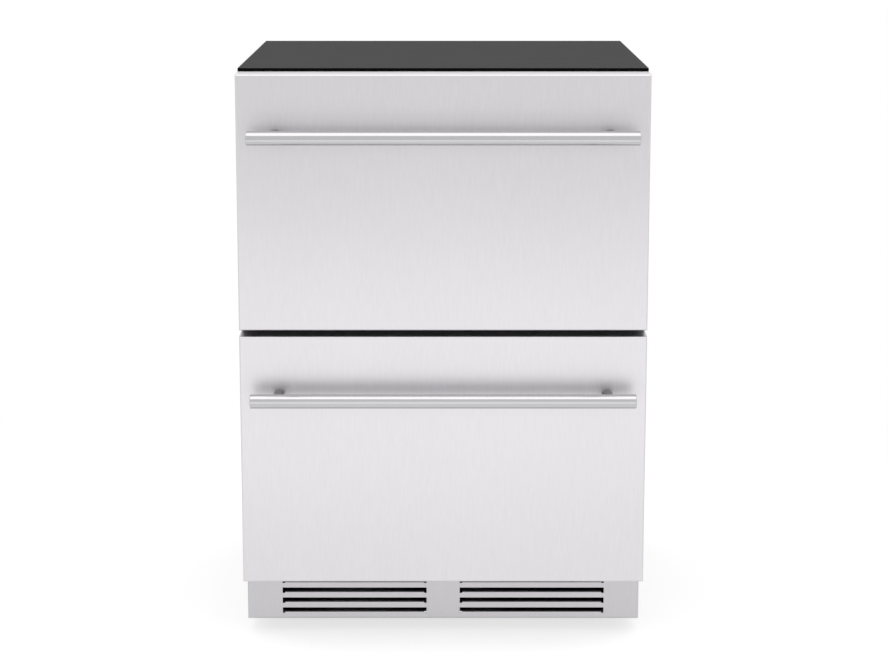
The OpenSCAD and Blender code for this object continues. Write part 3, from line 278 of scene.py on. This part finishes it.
# A look for each material slot of the record
LOOKS = {
    "stainless_front": brushed_sheet("brushed_front", (0.636, 0.624, 0.643), roughness=0.36),
    # The kick plate's steel is the fronts' steel made darker: painted shade from its recess under the
    # drawers.
    "stainless_kick": brushed_sheet("brushed_kick_painted_shade", (0.525, 0.515, 0.53), roughness=0.38),
    "stainless_handle": turned_bar("bar_steel", (0.5, 0.494, 0.505), roughness=0.14),
    # Dark colour on the posts' steel: painted dark reflection and shade.
    "stainless_post": turned_bar("post_steel_painted_reflection", (0.13, 0.13, 0.133), roughness=0.3),
    "top_paint": powder_coat("top_coat", (0.065, 0.065, 0.066), roughness=0.8, specular=0.03),
    "black_paint": powder_coat("cabinet_coat", (0.02, 0.02, 0.021), roughness=0.5, specular=0.22),
    "black_frame": powder_coat("frame_coat", (0.003, 0.003, 0.003), roughness=0.6, specular=0.05),
    "compressor_paint": powder_coat("compressor_coat", (0.014, 0.014, 0.015), roughness=0.2, specular=0.5),
    "galvanised": galvanised("zinc_sheet", (0.55, 0.56, 0.575), roughness=0.42),
    "zinc": plated("zinc_plate", (0.47, 0.475, 0.485), roughness=0.34),
    "ball_steel": plated("ball_steel", (0.8, 0.8, 0.8), roughness=0.12),
    "motor_metal": plated("motor_metal", (0.34, 0.35, 0.36), roughness=0.4),
    "white_plastic": moulded("liner_white", (0.80, 0.81, 0.815), roughness=0.42),
    "bin_plastic": moulded("bin_white", (0.84, 0.85, 0.855), roughness=0.32, grain=1400),
    "lamp_diffuser": moulded("lamp_white", (0.88, 0.9, 0.88), roughness=0.5, grain=1800),
    "clear_tube": moulded("tube_white", (0.66, 0.68, 0.69), roughness=0.35),
    "mullion_plastic": moulded("mullion_gray", (0.03, 0.03, 0.031), roughness=0.45),
    "black_plastic": moulded("plastic_black", (0.028, 0.028, 0.029), roughness=0.48),
    "black_gloss": moulded("panel_black", (0.012, 0.012, 0.013), roughness=0.14, depth=0.000002),
    "foot_plastic": moulded("foot_black", (0.03, 0.03, 0.03), roughness=0.55),
    "black_rubber": rubber("rubber_black", (0.02, 0.02, 0.02), roughness=0.68),
    "foam": cellular("foam_cream", (0.74, 0.66, 0.42), roughness=0.9),
    "copper": drawn_copper("copper_tube", (0.78, 0.40, 0.24), (0.36, 0.17, 0.09), roughness=0.3),
    "coil_metal": rolled_fins("coil_aluminium", (0.70, 0.71, 0.72), roughness=0.38),
}


def dress_nodes():
    """Gives every CAD node the look of its material slot."""
    for part in frame["record"]["subparts"]:
        data = nodes[part["node"]].data
        data.materials.clear()
        data.materials.append(LOOKS[part["material_slot"]].material)


# ------------------------------------------------------------------ studio

def make_world():
    """White to the eye and in reflections, and a plain soft light on matt surfaces."""
    world = bpy.data.worlds.new("studio")
    bpy.context.scene.world = world
    world.use_nodes = True
    world.node_tree.nodes.clear()
    tree = Nodes(world.node_tree)
    light = tree.add("ShaderNodeBackground", {"Color": WHITE, "Strength": SKY_LEVEL}).outputs[0]
    white = tree.add("ShaderNodeBackground", {"Color": WHITE, "Strength": WHITE_LEVEL}).outputs[0]
    both = tree.add("ShaderNodeMixShader", [tree.seen_directly(), light, white]).outputs[0]
    tree.add("ShaderNodeOutputWorld", {"Surface": both})


def make_floor():
    """Pale floor that keeps the object's shadow, and turns to plain white away from it."""
    bpy.ops.mesh.primitive_plane_add(size=FLOOR_SIZE)
    floor = bpy.context.object
    floor.name = "studio_floor"
    material = bpy.data.materials.new("floor_pale")
    material.use_nodes = True
    material.node_tree.nodes.clear()
    tree = Nodes(material.node_tree)
    seen = tree.seen_directly()

    matt = tree.add("ShaderNodeBsdfDiffuse", {"Color": FLOOR_COLOR}).outputs[0]
    level = tree.math("MULTIPLY", seen, FLOOR_GLOW)
    glow = tree.add("ShaderNodeEmission", {"Color": WHITE, "Strength": level}).outputs[0]
    near = tree.add("ShaderNodeAddShader", [matt, glow]).outputs[0]

    distance = tree.add("ShaderNodeVectorMath", [tree.object_place()], operation="LENGTH").outputs["Value"]
    start, end = FLOOR_FADE
    away = tree.add("ShaderNodeMapRange", {"Value": distance, "From Min": start, "From Max": end},
                    interpolation_type="SMOOTHSTEP").outputs[0]
    outside = tree.math("MULTIPLY", seen, away)
    white = tree.add("ShaderNodeEmission", {"Color": WHITE, "Strength": WHITE_LEVEL}).outputs[0]

    both = tree.add("ShaderNodeMixShader", [outside, near, white]).outputs[0]
    tree.add("ShaderNodeOutputMaterial", {"Surface": both})
    floor.data.materials.append(material)


def softbox(name, place, target, size, watts):
    """Soft lamp that lights and is mirrored, and isn't itself in the picture."""
    lamp = bpy.data.lights.new(name, "AREA")
    lamp.shape = "RECTANGLE"
    lamp.size, lamp.size_y = size
    lamp.energy = watts
    holder = bpy.data.objects.new(name, lamp)
    bpy.context.scene.collection.objects.link(holder)
    holder.location = place
    holder.rotation_euler = (Vector(target) - Vector(place)).to_track_quat("-Z", "Y").to_euler()
    holder.visible_camera = False


def make_lights():
    """The side and rear lamps hang high, so that level steel doesn't mirror them to a low camera."""
    for name, side in (("left", -1), ("right", 1)):
        softbox(name, place=(side * 2.8, 0.6, 3.3), target=BODY_MIDDLE, size=(1.6, 2.4), watts=14)
    softbox("rear", place=(0, 2.8, 3.4), target=BODY_MIDDLE, size=(3.4, 1.8), watts=10)
    softbox("low_front", place=(0, FACE_Y - 0.8, 0.25), target=FRONTS_LOW, size=(2.4, 0.5), watts=1.35)
    for name, side in (("front_left", -1), ("front_right", 1)):
        softbox(name, place=(side * 2.7, FACE_Y - 2.4, 1.2), target=BODY_MIDDLE, size=(1.4, 1.8), watts=2.6)
    softbox("overhead", place=(0, FACE_Y - 0.9, 3.5), target=FRONTS_TOP, size=(3.4, 2.8), watts=30)


def make_camera():
    data = bpy.data.cameras.new("camera")
    data.sensor_width = SENSOR_W
    data.lens = CAMERA_FOCAL / PHOTO_W * SENSOR_W
    data.shift_x = SHIFT_X / PHOTO_W
    data.shift_y = SHIFT_Y / PHOTO_W
    camera = bpy.data.objects.new("camera", data)
    bpy.context.scene.collection.objects.link(camera)
    camera.location = (0, FACE_Y - CAMERA_DISTANCE, CAMERA_HEIGHT)
    camera.rotation_euler = (math.radians(90) - CAMERA_TILT, 0, 0)
    bpy.context.scene.camera = camera


make_camera()
make_world()
make_floor()
make_lights()
dress_nodes()
bpy.context.scene.view_settings.view_transform = "Standard"
